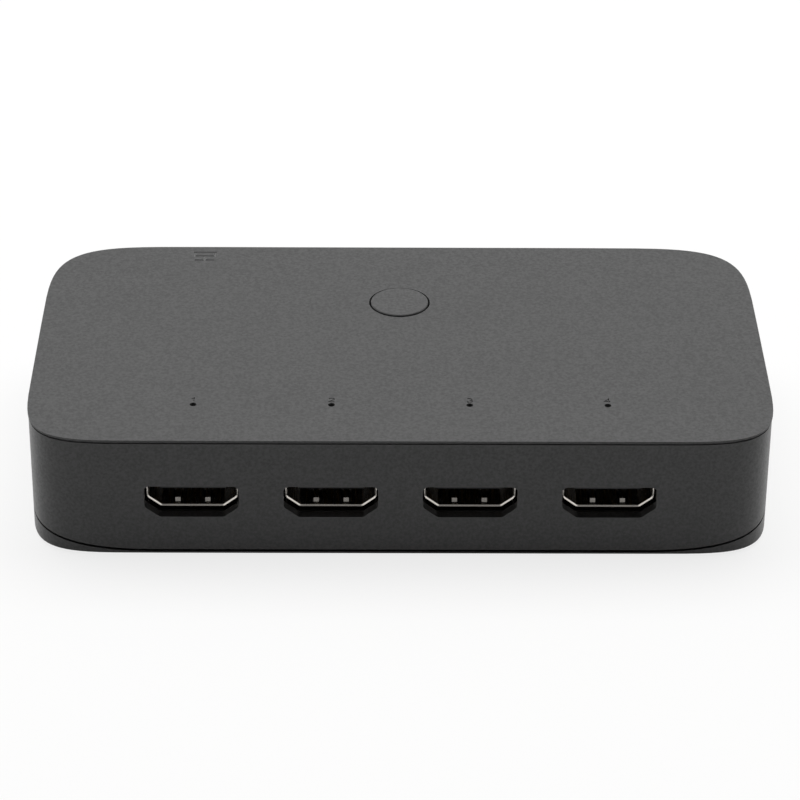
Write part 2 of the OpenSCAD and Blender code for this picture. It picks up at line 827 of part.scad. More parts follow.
module case_screw() {
    cross = 0.6;
    color("#2a2b2d") translate([0, 0, base_z + head_sink]) difference() {
        union() {
            translate([0, 0, -head_t]) cylinder(d = head_d, h = head_t, $fn = 48);
            translate([0, 0, -eps]) cylinder(d = screw_d, h = screw_len + eps, $fn = 32);
        }
        for (turn = [0, 90]) rotate([0, 0, turn]) translate([-head_d / 3, -cross / 2, -head_t - 1])
            cube([head_d * 2 / 3, cross, 1 + head_t / 2]);
    }
}

module case_screws() {
    at_corners(screw_x, screw_y) case_screw();
}

top_panel();
housing();
base_cover();
circuit_board();
push_button();
select_switch();
switch_cover();
switch_plunger();
for (i = [1:video_inputs]) {
    x = video_in_x(i - 1);
    at_front(x) video_shell();
    at_front(x) video_insulator();
    at_front(x) video_contacts();
    translate([x, 0, 0]) light_guide();
    translate([x, 0, 0]) lamp();
}
at_back(out_x, video_rise) video_shell();  // video_out_shell
at_back(out_x, video_rise) video_insulator();  // video_out_insulator
at_back(out_x, video_rise) video_contacts();  // video_out_contacts
at_back(device_x[0], device_rise) device_shell();  // keyboard_shell
at_back(device_x[0], device_rise) device_insulator();  // keyboard_insulator
at_back(device_x[0], device_rise) device_contacts();  // keyboard_contacts
at_back(device_x[1], device_rise) device_shell();  // mouse_shell
at_back(device_x[1], device_rise) device_insulator();  // mouse_insulator
at_back(device_x[1], device_rise) device_contacts();  // mouse_contacts
for (i = [1:hosts]) {
    x = host_at(i - 1);
    at_back(x, host_rise) host_shell();
    at_back(x, host_rise) host_insulator();
    at_back(x, host_rise) host_contact_rows();  // computer_contacts
}
chip(video_chip_at, video_chip_size);  // video_chip
chip(hub_chip_at, hub_chip_size);  // hub_chip
chip(control_chip_at, control_chip_size);  // control_chip
crystal();
filter_capacitor();
board_capacitors();
for (i = [1:4])
    translate([corner_sign(i - 1)[0] * foot_x, corner_sign(i - 1)[1] * foot_y, 0]) foot();
case_screws();
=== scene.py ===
"""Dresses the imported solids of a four-input switch box and stands them on a pale studio floor.

Lengths are in metres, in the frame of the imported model: the front is -Y and up is +Z.
"""

import math

import bmesh
import bpy
from bpy.props import FloatProperty, FloatVectorProperty, PointerProperty
from mathutils import Matrix, Vector


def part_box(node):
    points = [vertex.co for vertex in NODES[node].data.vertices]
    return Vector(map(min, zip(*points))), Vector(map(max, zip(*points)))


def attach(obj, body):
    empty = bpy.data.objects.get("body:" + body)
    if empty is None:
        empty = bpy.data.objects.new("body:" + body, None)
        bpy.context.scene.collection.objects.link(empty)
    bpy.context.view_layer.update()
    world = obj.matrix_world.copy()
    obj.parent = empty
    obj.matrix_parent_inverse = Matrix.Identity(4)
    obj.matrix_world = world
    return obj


bl_info = {
    "name": "Four-input switch box",
    "version": (1, 0, 0),
    "blender": (4, 5, 0),
    "location": "View3D > Sidebar > Switch box",
    "description": "Finishes, engraved marks and studio stage of a four-input switch box",
    "category": "Object",
}

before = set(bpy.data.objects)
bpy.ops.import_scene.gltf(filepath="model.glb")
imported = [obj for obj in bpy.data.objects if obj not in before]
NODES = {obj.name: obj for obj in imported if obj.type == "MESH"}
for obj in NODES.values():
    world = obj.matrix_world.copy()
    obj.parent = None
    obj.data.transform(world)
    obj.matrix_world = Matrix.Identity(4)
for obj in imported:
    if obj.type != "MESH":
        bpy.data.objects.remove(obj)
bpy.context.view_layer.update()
MM = 0.001

INPUTS = range(1, 5)
VIDEO_PORTS = [f"video_in_{i}" for i in INPUTS] + ["video_out"]
DEVICE_PORTS = ["keyboard", "mouse"]
COMPUTER_PORTS = [f"computer_{i}" for i in INPUTS]

# Top of the panel, thickness of its lip, and distance from a light guide's front to its hole's middle.
PANEL_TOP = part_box("top_panel")[1].z
PANEL_LIP = 0.3 * MM
GUIDE_FRONT = 1 * MM

# Extents and power of the superellipse that the case's corners follow in plan.
FRONT_CORNER = 21.5 * MM
BACK_CORNER = 28 * MM
CORNER_POWER = 4.7

# Points nearer than this are one point, facets flatter than the first angle are one face, edges sharper
# than the second are rounded, and edges sharper than the third stay crisp where that is asked.
WELD = 0.001 * MM
FLAT_ANGLE = math.radians(0.2)
EDGE_ANGLE = math.radians(30)
CRISP_ANGLE = math.radians(40)

# An engraved stroke is this share narrower at its floor than at the panel's face, the base of the screen
# sign is this share of the screen's width, and where a stroke turns so sharply that the cosine of half
# the turn is below the limit, its mitre grows no longer.
STROKE_TAPER = 0.6
SIGN_BASE = 0.95
MITRE_LIMIT = 0.55

# Softboxes: name, place, width and height in metres, and the property that holds their power.
SOFTBOXES = (
    ("key_softbox", (0, 0.25, 0.8), (0.9, 0.6), "key_power"),
    ("left_softbox", (-0.8, 0.25, 0.3), (0.5, 0.5), "side_power"),
    ("right_softbox", (0.8, 0.25, 0.3), (0.5, 0.5), "side_power"),
)

# Half the floor's width in metres, and the share of plain white that the camera and gloss see in it.
FLOOR_REACH = 4
FLOOR_LIFT = 0.8


def linear(code):
    """Linear red, green and blue of an sRGB hex code."""
    parts = [int(code[i : i + 2], 16) / 255 for i in (1, 3, 5)]
    return tuple(p / 12.92 if p <= 0.04045 else ((p + 0.055) / 1.055) ** 2.4 for p in parts)


def colour(name, description, code):
    """Property of a colour, from its sRGB hex code."""
    return FloatVectorProperty(
        name=name, description=description, subtype="COLOR", min=0, max=1, default=linear(code)
    )


def length(name, description, millimetres):
    """Property of a length."""
    return FloatProperty(
        name=name,
        description=description,
        subtype="DISTANCE",
        unit="LENGTH",
        precision=5,
        min=0,
        default=millimetres * MM,
    )


def place(name, description, millimetres):
    """Property of a point in space."""
    return FloatVectorProperty(
        name=name,
        description=description,
        subtype="TRANSLATION",
        unit="LENGTH",
        precision=5,
        default=[m * MM for m in millimetres],
    )


def angle(name, description, degrees):
    """Property of an angle."""
    return FloatProperty(
        name=name,
        description=description,
        subtype="ANGLE",
        unit="ROTATION",
        default=math.radians(degrees),
    )


class SwitchBoxFinish(bpy.types.PropertyGroup):
    """Colours and edge roundings of the box and its sockets."""

    plastic: colour("Case plastic", "Moulded plastic of the case", "#4a4a4a")
    button: colour("Button plastic", "Moulded plastic of the button", "#4c4c4c")
    nickel: colour("Nickel", "Plating of the socket shells", "#d1ccc5")
    gold: colour("Gold", "Flashing on the contacts", "#c9a24a")
    insulator: colour("Insulator", "Black plastic inside the sockets", "#17181a")
    board: colour("Board", "Solder mask of the circuit board", "#17191a")
    rubber: colour("Rubber", "Moulded feet", "#222324")
    grain: length("Grain", "Width of one pit of the case's texture as drawn", 0.5)
    grain_depth: length("Grain depth", "Depth of those pits", 0.012)
    panel_edge: length("Panel edges", "Rounding of the top panel's edges", 0.12)
    wall_edge: length("Wall edges", "Rounding of the walls' and the base's edges", 0.18)
    sheet_edge: length("Sheet edges", "Rounding of the sockets' sheet metal", 0.03)
    strip_set: length("Strip set-back", "From the panel's edge in to the strip below it", 0.28)
    strip_width: length("Strip width", "Width of that strip on top of the walls", 0.72)


class SwitchBoxMarks(bpy.types.PropertyGroup):
    """Sizes of the digits and the screen sign engraved in the top panel."""

    digit_width: length("Digit width", "Width of a digit over its strokes' middles", 0.95)
    digit_height: length("Digit height", "Height of a digit over its strokes' middles", 1.15)
    digit_set: length("Digit distance", "From a light hole back to its digit's middle", 1.5)
    sign_width: length("Sign width", "Width of the screen sign over its strokes' middles", 3.6)
    screen_depth: length("Screen depth", "Depth of the screen in that sign", 1.34)
    stand_depth: length("Stand depth", "Length of the stand below the screen", 1.52)
    sign_place: place("Sign place", "Middle of the screen in the sign", (-33.75, 30.05, 0))
    digit_stroke: length("Digit stroke", "Width of a digit's strokes", 0.28)
    sign_stroke: length("Sign stroke", "Width of the sign's strokes", 0.56)
    depth: length("Depth", "Depth of the engraved strokes", 0.2)


class SwitchBoxStage(bpy.types.PropertyGroup):
    """Camera, lamps and floor."""

    lens: FloatProperty(
        name="Lens", description="Focal length", subtype="DISTANCE_CAMERA", default=146.5
    )
    camera: place("Camera place", "Where the camera stands", (-4.225, -471.6, 287.1))
    yaw: angle("Camera yaw", "Turn of the view to the right", 0.525)
    pitch: angle("Camera pitch", "Tilt of the view downwards", 30.436)
    roll: angle("Camera roll", "Roll of the camera", 0.421)
    floor: colour("Floor", "Pale studio floor as it is seen", "#f8f8f7")
    bounce: colour("Floor bounce", "Grey at which the floor throws light back up", "#e4e4e4")
    key_power: FloatProperty(
        name="Key power",
        description="Overhead softbox",
        subtype="POWER",
        unit="POWER",
        default=6.4,
    )
    side_power: FloatProperty(
        name="Side power",
        description="Softbox on each side",
        subtype="POWER",
        unit="POWER",
        default=1.8,
    )
    room: FloatProperty(
        name="Room light",
        description="Level of the light from above and behind",
        min=0,
        default=0.5,
    )


def add_node(tree, kind, settings=None, inputs=None):
    """Adds a node, gives it its settings, and sets or links its inputs."""
    made = tree.nodes.new(kind)
    for name, value in (settings or {}).items():
        setattr(made, name, value)
    for name, value in (inputs or {}).items():
        if isinstance(value, bpy.types.NodeSocket):
            tree.links.new(value, made.inputs[name])
        else:
            made.inputs[name].default_value = value
    return made


def new_material(name):
    """A material with no nodes yet, and its tree."""
    made = bpy.data.materials.new(name)
    made.use_nodes = True
    made.node_tree.nodes.clear()
    return made, made.node_tree


def shade(rgb, factor):
    """A colour made lighter or darker, as a node takes it."""
    return (*[min(c * factor, 1) for c in rgb], 1)


def spark_eroded_abs(name, rgb, roughness, gloss, grain, depth):
    # ABS moulded in a spark-eroded tool. Its fine pits scatter the light, so that it looks dull and
    # faintly mottled, and handling polishes its edges. Real pits are about 0.1 mm wide, and they are
    # drawn as wide as grain, so that they show. The melt leaves wider clouds.
    cloud, polish = 9 * MM, 0.3 * MM
    made, tree = new_material(name)
    where = add_node(tree, "ShaderNodeTexCoord").outputs["Object"]
    pits = add_node(
        tree,
        "ShaderNodeTexNoise",
        inputs={"Vector": where, "Scale": 1 / grain, "Detail": 3, "Roughness": 0.65},
    )
    clouds = add_node(
        tree,
        "ShaderNodeTexNoise",
        inputs={"Vector": where, "Scale": 1 / cloud, "Detail": 2},
    )
    rounded = add_node(tree, "ShaderNodeBevel", {"samples": 4}, {"Radius": polish})
    flat = add_node(tree, "ShaderNodeNewGeometry")
    match = add_node(
        tree,
        "ShaderNodeVectorMath",
        {"operation": "DOT_PRODUCT"},
        {0: rounded.outputs[0], 1: flat.outputs["Normal"]},
    )
    edge = add_node(
        tree,
        "ShaderNodeMapRange",
        inputs={0: match.outputs["Value"], 1: 0.8, 2: 1.0, 3: 1.0, 4: 0.0},
    )
    mottle = add_node(
        tree,
        "ShaderNodeMapRange",
        inputs={0: pits.outputs[0], 1: 0.36, 2: 0.64, 3: 0.0, 4: 1.0},
    )
    tone = add_node(
        tree,
        "ShaderNodeMix",
        {"data_type": "RGBA"},
        {0: mottle.outputs[0], 6: shade(rgb, 0.8), 7: shade(rgb, 1.2)},
    )
    clouded = add_node(
        tree,
        "ShaderNodeMix",
        {"data_type": "RGBA", "blend_type": "OVERLAY"},
        {0: 0.06, 6: tone.outputs[2], 7: clouds.outputs[0]},
    )
    worn = add_node(
        tree,
        "ShaderNodeMix",
        {"data_type": "RGBA"},
        {0: edge.outputs[0], 6: clouded.outputs[2], 7: shade(rgb, 1.3)},
    )
    rough = add_node(
        tree,
        "ShaderNodeMapRange",
        inputs={0: pits.outputs[0], 1: 0.3, 2: 0.7, 3: roughness + 0.05, 4: roughness - 0.05},
    )
    polished = add_node(
        tree,
        "ShaderNodeMath",
        {"operation": "MULTIPLY_ADD"},
        {0: edge.outputs[0], 1: -0.12, 2: rough.outputs[0]},
    )
    relief = add_node(
        tree,
        "ShaderNodeBump",
        inputs={"Strength": 0.6, "Distance": depth, "Height": pits.outputs[0]},
    )
    shader = add_node(
        tree,
        "ShaderNodeBsdfPrincipled",
        inputs={
            "Base Color": worn.outputs[2],
            "Roughness": polished.outputs[0],
            "IOR": 1.54,
            "Specular IOR Level": gloss,
            "Normal": relief.outputs[0],
        },
    )
    add_node(tree, "ShaderNodeOutputMaterial", inputs={"Surface": shader.outputs[0]})
    return made


def plated_metal(name, rgb, roughness, line_width, line_run):
    # Stamped sheet or strip, plated after forming. Fine lines from the rolling mill run along the
    # socket and stretch its highlights, and the plating is a little cloudy.
    cloud, line_depth = 1.2 * MM, 0.002 * MM
    made, tree = new_material(name)
    where = add_node(tree, "ShaderNodeTexCoord").outputs["Object"]
    along = add_node(
        tree,
        "ShaderNodeMapping",
        inputs={"Vector": where, "Scale": (1 / line_width, 1 / line_run, 1 / line_width)},
    )
    lines = add_node(
        tree,
        "ShaderNodeTexNoise",
        inputs={"Vector": along.outputs[0], "Scale": 1, "Detail": 2, "Roughness": 0.6},
    )
    clouds = add_node(
        tree,
        "ShaderNodeTexNoise",
        inputs={"Vector": where, "Scale": 1 / cloud, "Detail": 3},
    )
    tone = add_node(
        tree,
        "ShaderNodeMix",
        {"data_type": "RGBA"},
        {0: clouds.outputs[0], 6: shade(rgb, 0.8), 7: shade(rgb, 1.12)},
    )
    rough = add_node(
        tree,
        "ShaderNodeMapRange",
        inputs={0: lines.outputs[0], 1: 0.25, 2: 0.75, 3: roughness - 0.08, 4: roughness + 0.08},
    )
    relief = add_node(
        tree,
        "ShaderNodeBump",
        inputs={"Strength": 0.3, "Distance": line_depth, "Height": lines.outputs[0]},
    )
    shader = add_node(
        tree,
        "ShaderNodeBsdfPrincipled",
        inputs={
            "Base Color": tone.outputs[2],
            "Metallic": 1.0,
            "Roughness": rough.outputs[0],
            "Normal": relief.outputs[0],
        },
    )
    add_node(tree, "ShaderNodeOutputMaterial", inputs={"Surface": shader.outputs[0]})
    return made


def smooth_moulded(name, rgb, roughness, ior, flow):
    # Filled plastic, rubber or ceramic with no tool texture, as moulded, fired or cut by a laser. The
    # filler leaves pale flow streaks along X and a dry, slightly uneven sheen.
    streak_run, streak_depth = 8 * flow, 0.006 * MM
    made, tree = new_material(name)
    where = add_node(tree, "ShaderNodeTexCoord").outputs["Object"]
    along = add_node(
        tree,
        "ShaderNodeMapping",
        inputs={"Vector": where, "Scale": (1 / streak_run, 1 / flow, 1 / flow)},
    )
    streaks = add_node(
        tree,
        "ShaderNodeTexNoise",
        inputs={"Vector": along.outputs[0], "Scale": 1, "Detail": 4, "Roughness": 0.6},
    )
    tone = add_node(
        tree,
        "ShaderNodeMix",
        {"data_type": "RGBA"},
        {0: streaks.outputs[0], 6: shade(rgb, 0.7), 7: shade(rgb, 1.4)},
    )
    rough = add_node(
        tree,
        "ShaderNodeMapRange",
        inputs={0: streaks.outputs[0], 1: 0.3, 2: 0.7, 3: roughness - 0.08, 4: roughness + 0.08},
    )
    relief = add_node(
        tree,
        "ShaderNodeBump",
        inputs={"Strength": 0.4, "Distance": streak_depth, "Height": streaks.outputs[0]},
    )
    shader = add_node(
        tree,
        "ShaderNodeBsdfPrincipled",
        inputs={
            "Base Color": tone.outputs[2],
            "Roughness": rough.outputs[0],
            "IOR": ior,
            "Normal": relief.outputs[0],
        },
    )
    add_node(tree, "ShaderNodeOutputMaterial", inputs={"Surface": shader.outputs[0]})
    return made


def solder_mask_laminate(name, rgb):
    # Glass-fibre laminate under black solder mask. Copper tracks show through the mask as paler
    # lines, its lacquer is glossy, and the sawn edges are bare brownish laminate.
    track_pitch, track_height, cloth = 3 * MM, 0.03 * MM, 2 * MM
    made, tree = new_material(name)
    where = add_node(tree, "ShaderNodeTexCoord").outputs["Object"]
    tracks = add_node(
        tree,
        "ShaderNodeTexVoronoi",
        {"feature": "DISTANCE_TO_EDGE"},
        {"Vector": where, "Scale": 1 / track_pitch, "Randomness": 0.6},
    )
    copper = add_node(
        tree,
        "ShaderNodeMapRange",
        inputs={0: tracks.outputs["Distance"], 1: 0.04, 2: 0.07, 3: 1.0, 4: 0.0},
    )
    mask = add_node(
        tree,
        "ShaderNodeMix",
        {"data_type": "RGBA"},
        {0: copper.outputs[0], 6: shade(rgb, 0.9), 7: shade(rgb, 1.8)},
    )
    facing = add_node(tree, "ShaderNodeNewGeometry")
    parts = add_node(tree, "ShaderNodeSeparateXYZ", inputs={0: facing.outputs["True Normal"]})
    level = add_node(tree, "ShaderNodeMath", {"operation": "ABSOLUTE"}, {0: parts.outputs["Z"]})
    weave = add_node(
        tree,
        "ShaderNodeTexWave",
        {"bands_direction": "Z"},
        {"Vector": where, "Scale": 1 / cloth, "Distortion": 1.5},
    )
    sawn = add_node(
        tree,
        "ShaderNodeMix",
        {"data_type": "RGBA"},
        {0: weave.outputs["Fac"], 6: (*linear("#3a372c"), 1), 7: (*linear("#4d493a"), 1)},
    )
    tone = add_node(
        tree,
        "ShaderNodeMix",
        {"data_type": "RGBA"},
        {0: level.outputs[0], 6: sawn.outputs[2], 7: mask.outputs[2]},
    )
    relief = add_node(
        tree,
        "ShaderNodeBump",
        inputs={"Strength": 0.4, "Distance": track_height, "Height": copper.outputs[0]},
    )
    shader = add_node(
        tree,
        "ShaderNodeBsdfPrincipled",
        inputs={
            "Base Color": tone.outputs[2],
            "Roughness": 0.32,
            "IOR": 1.55,
            "Coat Weight": 0.4,
            "Coat Roughness": 0.15,
            "Normal": relief.outputs[0],
        },
    )
    add_node(tree, "ShaderNodeOutputMaterial", inputs={"Surface": shader.outputs[0]})
    return made


def clear_acrylic(name, rgb, transmission, roughness):
    # Acrylic or resin, cast or moulded clear: it passes light, with a slightly drawn surface.
    ripple_width, ripple_depth = 0.8 * MM, 0.01 * MM
    made, tree = new_material(name)
    where = add_node(tree, "ShaderNodeTexCoord").outputs["Object"]
    ripple = add_node(
        tree,
        "ShaderNodeTexNoise",
        inputs={"Vector": where, "Scale": 1 / ripple_width, "Detail": 2},
    )
    tone = add_node(
        tree,
        "ShaderNodeMix",
        {"data_type": "RGBA"},
        {0: ripple.outputs[0], 6: shade(rgb, 0.94), 7: shade(rgb, 1.04)},
    )
    relief = add_node(
        tree,
        "ShaderNodeBump",
        inputs={"Strength": 0.3, "Distance": ripple_depth, "Height": ripple.outputs[0]},
    )
    shader = add_node(
        tree,
        "ShaderNodeBsdfPrincipled",
        inputs={
            "Base Color": tone.outputs[2],
            "Roughness": roughness,
            "IOR": 1.49,
            "Transmission Weight": transmission,
            "Normal": relief.outputs[0],
        },
    )
    add_node(tree, "ShaderNodeOutputMaterial", inputs={"Surface": shader.outputs[0]})
    return made


def join_facets():
    """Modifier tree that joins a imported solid's facets and forgets the normals stored with them."""
    tree = bpy.data.node_groups.get("Join facets")
    if tree:
        return tree
    tree = bpy.data.node_groups.new("Join facets", "GeometryNodeTree")
    for way in ("INPUT", "OUTPUT"):
        tree.interface.new_socket("Geometry", in_out=way, socket_type="NodeSocketGeometry")
    source = add_node(tree, "NodeGroupInput")
    joined = add_node(
        tree,
        "GeometryNodeMergeByDistance",
        inputs={"Geometry": source.outputs[0], "Distance": WELD},
    )
    smooth = add_node(
        tree,
        "GeometryNodeSetMeshNormal",
        {"mode": "SHARPNESS"},
        {"Mesh": joined.outputs[0], "Remove Custom": True},
    )
    add_node(tree, "NodeGroupOutput", inputs={0: smooth.outputs[0]})
    return tree


def dress(names, material, edge, segments=2, engraving=None, crisp=False):
    """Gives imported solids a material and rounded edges, and an engraving or crisp facets if asked."""
    for name in names:
        solid = NODES[name]
        solid.data.materials[0] = material
        joined = solid.modifiers.new("Join facets", "NODES")
        joined.node_group = join_facets()
        whole = solid.modifiers.new("Whole faces", "DECIMATE")
        whole.decimate_type = "DISSOLVE"
        whole.angle_limit = FLAT_ANGLE
        rounded = solid.modifiers.new("Rounded edges", "BEVEL")
        rounded.width = edge
        rounded.segments = segments
        rounded.limit_method = "ANGLE"
        rounded.angle_limit = EDGE_ANGLE
        rounded.miter_outer = "MITER_ARC"
        if engraving:
            cut = solid.modifiers.new("Engraving", "BOOLEAN")
            cut.operation = "DIFFERENCE"
            cut.solver = "EXACT"
            cut.use_self = True
            cut.material_mode = "TRANSFER"
            cut.object = engraving
        if crisp:
            split = solid.modifiers.new("Crisp facets", "EDGE_SPLIT")
            split.split_angle = CRISP_ANGLE
        weighted = solid.modifiers.new("Even shading", "WEIGHTED_NORMAL")
        weighted.keep_sharp = False


def add_stroke(mesh, path, width, low, high, slot, closed=False):
    """Adds a stroke along a path of points in X and Y that is narrow below, with mitred corners."""
    foot, brim = 1 - STROKE_TAPER, 1 + STROKE_TAPER
    rings = []
    faces = []
    count = len(path)
    for i, point in enumerate(path):
        before = path[i - 1] if closed or i else None
        after = path[(i + 1) % count] if closed or i < count - 1 else None
        runs = [(b - a).normalized() for a, b in ((before, point), (point, after)) if a and b]
        sides = [Vector((-run.y, run.x)) for run in runs]
        side = sum(sides, Vector((0, 0))).normalized()
        reach = width / 2 / max(side.dot(sides[0]), MITRE_LIMIT)
        rings.append(
            [
                mesh.verts.new((*(point + side * reach * turn), z))
                for turn, z in ((foot, low), (-foot, low), (-brim, high), (brim, high))
            ]
        )
    for i in range(count if closed else count - 1):
        a, b = rings[i], rings[(i + 1) % count]
        for k in range(4):
            faces.append((a[k], a[(k + 1) % 4], b[(k + 1) % 4], b[k]))
    if not closed:
        faces += [rings[0][::-1], rings[-1]]
    for face in faces:
        mesh.faces.new(face).material_index = slot


def case_outline(inset, steps=24):
    """Points of the case's outline in plan, moved inwards, anticlockwise from its right side."""
    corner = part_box("top_panel")[1]
    points = []
    for quarter in range(4):
        extent = (BACK_CORNER if quarter < 2 else FRONT_CORNER) - inset
        for i in range(steps + 1):
            a = math.pi / 2 * i / steps
            c, s = (extent * max(f(a), 0) ** (2 / CORNER_POWER) for f in (math.cos, math.sin))
            x, y = (s, c) if quarter % 2 else (c, s)
            x += corner.x - inset - extent
            y += corner.y - inset - extent
            points.append((-x if quarter in (1, 2) else x, y if quarter < 2 else -y))
    return points


def bow(x, y, wide, high, start, end, steps=10):
    """Points of an elliptic bow between two angles in degrees."""
    turns = [math.radians(start + (end - start) * i / steps) for i in range(steps + 1)]
    return [(x + wide * math.cos(t), y + high * math.sin(t)) for t in turns]


# Strokes of each digit in a box one wide and one high round the origin.
DIGITS = {
    1: [(-0.3, 0.25), (0.1, 0.5), (0.1, -0.5)],
    2: bow(0, 0.22, 0.46, 0.28, 160, -30) + [(-0.5, -0.5), (0.5, -0.5)],
    3: bow(0, 0.25, 0.42, 0.25, 150, -70) + bow(0, -0.24, 0.5, 0.26, 70, -150),
    4: [(0.22, -0.5), (0.22, 0.5), (-0.5, -0.2), (0.5, -0.2)],
}


class SWITCHBOX_OT_marks(bpy.types.Operator):
    """Shapes the digits and the screen sign that are cut into the top panel"""

    bl_idname = "switchbox.marks"
    bl_label = "Shape the engraved marks"

    def execute(self, context):
        marks = context.scene.switchbox_marks
        finish = context.scene.switchbox_finish
        low, high = PANEL_TOP - marks.depth, PANEL_TOP + marks.depth
        mesh = bmesh.new()
        for i, strokes in DIGITS.items():
            lower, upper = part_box(f"light_guide_{i}")
            middle = Vector(((lower.x + upper.x) / 2, lower.y + GUIDE_FRONT + marks.digit_set))
            path = [
                middle + Vector((x * marks.digit_width, y * marks.digit_height)) for x, y in strokes
            ]
            add_stroke(mesh, path, marks.digit_stroke, low, high, 0)
        centre = Vector(marks.sign_place[:2])
        wide, deep = marks.sign_width / 2, marks.screen_depth / 2
        foot = -deep - marks.stand_depth
        screen = [(-wide, -deep), (wide, -deep), (wide, deep), (-wide, deep)]
        stand = [(0, -deep), (0, foot)]
        base = [(-wide * SIGN_BASE, foot), (wide * SIGN_BASE, foot)]
        for path, closed in ((screen, True), (stand, False), (base, False)):
            points = [centre + Vector(p) for p in path]
            add_stroke(mesh, points, marks.sign_stroke, low, high, 1, closed)
        bmesh.ops.recalc_face_normals(mesh, faces=mesh.faces)
        data = bpy.data.meshes.new("engraved_marks")
        mesh.to_mesh(data)
        mesh.free()
        cutter = bpy.data.objects.new("engraved_marks", data)
        context.scene.collection.objects.link(cutter)
        # The narrow strokes of the digits are coloured darker than the plastic. The sign's wide strokes
        # are coloured paler, which is painted light that offsets the shade inside their grooves.
        for name, lightness in (("abs_laser_charred", 0.7), ("abs_laser_engraved", 1.2)):
            tone = shade(finish.plastic, lightness)[:3]
            data.materials.append(
                smooth_moulded(name, tone, roughness=0.5, ior=1.54, flow=finish.grain)
            )
        cutter.hide_render = True
        cutter.display_type = "WIRE"
        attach(cutter, "case")
        return {"FINISHED"}


class SWITCHBOX_OT_case(bpy.types.Operator):
    """Gives the top panel, the walls and the base their moulded finish"""

    bl_idname = "switchbox.case"
    bl_label = "Dress the case"

    def execute(self, context):
        finish = context.scene.switchbox_finish
        pits = {"gloss": 0.2, "grain": finish.grain, "depth": finish.grain_depth}
        panel = spark_eroded_abs("abs_spark_eroded_panel", finish.plastic, roughness=0.56, **pits)
        walls = spark_eroded_abs("abs_satin_walls", finish.plastic, roughness=0.4, **pits)
        marks = bpy.data.objects["engraved_marks"]
        dress(["top_panel"], panel, edge=finish.panel_edge, engraving=marks, crisp=True)
        dress(["housing", "base_cover"], walls, edge=finish.wall_edge)
        return {"FINISHED"}


class SWITCHBOX_OT_strip(bpy.types.Operator):
    """Lays the strip on the walls that closes the gap under the panel's lip"""

    bl_idname = "switchbox.strip"
    bl_label = "Lay the strip under the lip"

    def execute(self, context):
        finish = context.scene.switchbox_finish
        low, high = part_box("housing")[1].z, PANEL_TOP - PANEL_LIP
        outer, inner = finish.strip_set, finish.strip_set + finish.strip_width
        mesh = bmesh.new()
        rings = [
            [mesh.verts.new((*point, z)) for point in case_outline(inset)]
            for inset, z in ((outer, low), (outer, high), (inner, high), (inner, low))
        ]
        for a, b in zip(rings, rings[1:] + rings[:1]):
            for i in range(len(a)):
                mesh.faces.new((a[i - 1], a[i], b[i], b[i - 1]))
        bmesh.ops.remove_doubles(mesh, verts=mesh.verts, dist=WELD)
        bmesh.ops.recalc_face_normals(mesh, faces=mesh.faces)
        data = bpy.data.meshes.new("lip_strip")
        mesh.to_mesh(data)
        mesh.free()
        data.materials.append(bpy.data.materials["abs_satin_walls"])
        strip = bpy.data.objects.new("lip_strip", data)
        context.scene.collection.objects.link(strip)
        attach(strip, "case")
        return {"FINISHED"}


class SWITCHBOX_OT_button(bpy.types.Operator):
    """Finishes the push button and the small switch under it"""

    bl_idname = "switchbox.button"
    bl_label = "Dress the button"

    def execute(self, context):
        finish = context.scene.switchbox_finish
        pits = {"gloss": 0.2, "grain": finish.grain, "depth": finish.grain_depth}
        cap = spark_eroded_abs("abs_spark_eroded_button", finish.button, roughness=0.54, **pits)
        nylon = smooth_moulded(
            "nylon_moulded_switch", finish.insulator, roughness=0.5, ior=1.53, flow=0.2 * MM
        )
        cover = plated_metal(
            "steel_tinned_cover",
            linear("#a9abad"),
            roughness=0.32,
            line_width=0.06 * MM,
            line_run=2 * MM,
        )
        dress(["push_button"], cap, edge=0.03 * MM)
        dress(["select_switch", "switch_plunger"], nylon, edge=0.08 * MM)
        dress(["switch_cover"], cover, edge=finish.sheet_edge)
        return {"FINISHED"}


class SWITCHBOX_OT_sockets(bpy.types.Operator):
    """Finishes the shells, insulators and contacts of all sockets"""

    bl_idname = "switchbox.sockets"
    bl_label = "Dress the sockets"

    def execute(self, context):
        finish = context.scene.switchbox_finish
        nickel = plated_metal(
            "steel_nickel_plated_shell",
            finish.nickel,
            roughness=0.22,
            line_width=0.06 * MM,
            line_run=3 * MM,
        )
        gold = plated_metal(
            "bronze_gold_flashed_contact",
            finish.gold,
            roughness=0.25,
            line_width=0.04 * MM,
            line_run=2 * MM,
        )
        polymer = smooth_moulded(
            "lcp_glass_filled_insulator", finish.insulator, roughness=0.48, ior=1.6, flow=0.15 * MM
        )
        plugs = VIDEO_PORTS + DEVICE_PORTS
        ports = plugs + COMPUTER_PORTS
        contacts = [f"{p}_contacts" for p in plugs] + ["computer_contacts"]
        shells = [f"{p}_shell" for p in ports]
        dress(shells, nickel, edge=finish.sheet_edge, segments=1, crisp=True)
        dress([f"{p}_insulator" for p in ports], polymer, edge=0.06 * MM)
        dress(contacts, gold, edge=0.02 * MM, segments=1)
        return {"FINISHED"}


class SWITCHBOX_OT_lights(bpy.types.Operator):
    """Finishes the light guides and the lamps behind them"""

    bl_idname = "switchbox.lights"
    bl_label = "Dress the lights"

    def execute(self, context):
        guide = clear_acrylic(
            "acrylic_clear_guide", linear("#e3eaec"), transmission=1.0, roughness=0.12
        )
        lamp = clear_acrylic("epoxy_cast_lamp", linear("#f2e9bf"), transmission=0.35, roughness=0.3)
        dress([f"light_guide_{i}" for i in INPUTS], guide, edge=0.06 * MM)
        dress([f"lamp_{i}" for i in INPUTS], lamp, edge=0.04 * MM)
        return {"FINISHED"}


